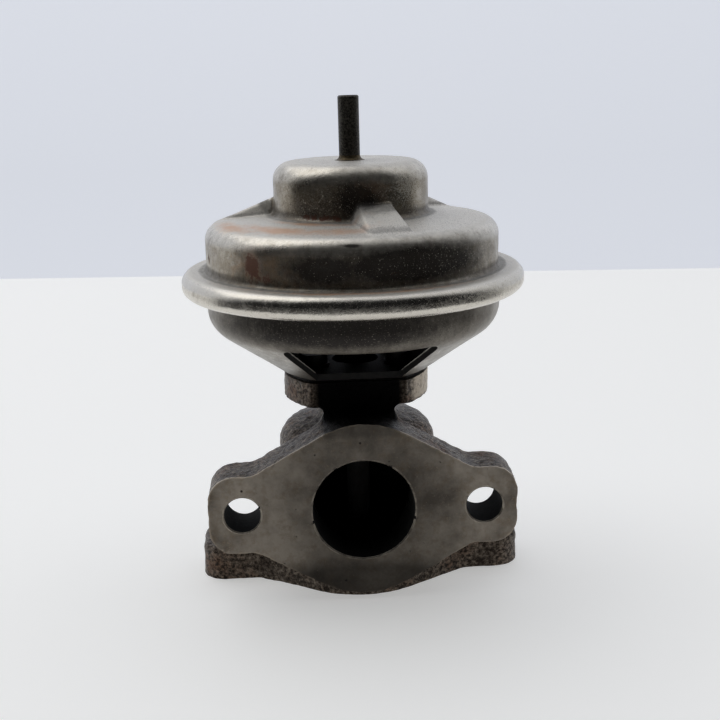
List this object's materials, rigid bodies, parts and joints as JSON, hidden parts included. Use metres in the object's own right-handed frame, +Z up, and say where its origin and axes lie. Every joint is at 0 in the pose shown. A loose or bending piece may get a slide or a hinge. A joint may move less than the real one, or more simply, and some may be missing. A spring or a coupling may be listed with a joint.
{
  "type": "egr valve",
  "caption": "Vacuum exhaust gas recirculation valve: cast body with front and base flanges, windowed crimped diaphragm case, sprung poppet on a stem, vacuum nipple on top.",
  "frame": {"origin": "centre of the base flange's mounting face, on the valve's axis", "axes": "+Z up along the valve's axis to the vacuum nipple, -Y out of the front flange, +X along both bolt rows"},
  "size_m": [0.0868, 0.0868, 0.1232],
  "materials": {
    "cast_body": "rough grey iron casting, machined flange faces, light rust on the edges",
    "lower_case": "dull pressed steel sheet, worn dark grey",
    "upper_case": "worn satin pressed steel with rust stains",
    "nipple_steel": "dark oxidised steel tube",
    "braze": "dull braze fillet",
    "gasket_board": "dark insulating gasket board",
    "seat_steel": "stainless seat ring, sooty",
    "hot_steel": "heat-darkened steel with soot",
    "stem_steel": "ground stem",
    "bush_bronze": "sintered bronze bush",
    "seal_graphite": "graphite seal",
    "plated_steel": "zinc plated pressing",
    "fastener_steel": "plated fasteners",
    "diaphragm_rubber": "black silicone rubber on fabric",
    "spring_steel": "bright spring wire"
  },
  "bodies": {
    "housing": {"valve_body": "cast_body", "valve_seat": "seat_steel", "guide_bush": "bush_bronze", "deposit_shield": "hot_steel", "stem_seal": "seal_graphite", "seal_retainer": "plated_steel", "case_gasket": "gasket_board", "lower_shell": "lower_case", "lock_washers": "fastener_steel", "case_screws": "fastener_steel", "diaphragm": "diaphragm_rubber", "return_spring": "spring_steel", "spring_seat": "plated_steel", "upper_shell": "upper_case", "vacuum_nipple": "nipple_steel", "nipple_braze": "braze"},
    "valve_rod": {"poppet": "hot_steel", "valve_stem": "stem_steel", "lower_plate": "plated_steel", "upper_plate": "plated_steel", "spring_cup": "plated_steel", "nut_washer": "fastener_steel", "stem_nut": "fastener_steel"}
  },
  "joints": [
    {"name": "valve_lift", "type": "slide", "parent": "housing", "child": "valve_rod", "axis": [0, 0, 1], "range_m": [0, 0.006], "stiffness_N_per_m": 5000, "springref_m": -0.004, "deforming": ["return_spring", "diaphragm"]}
  ]
}
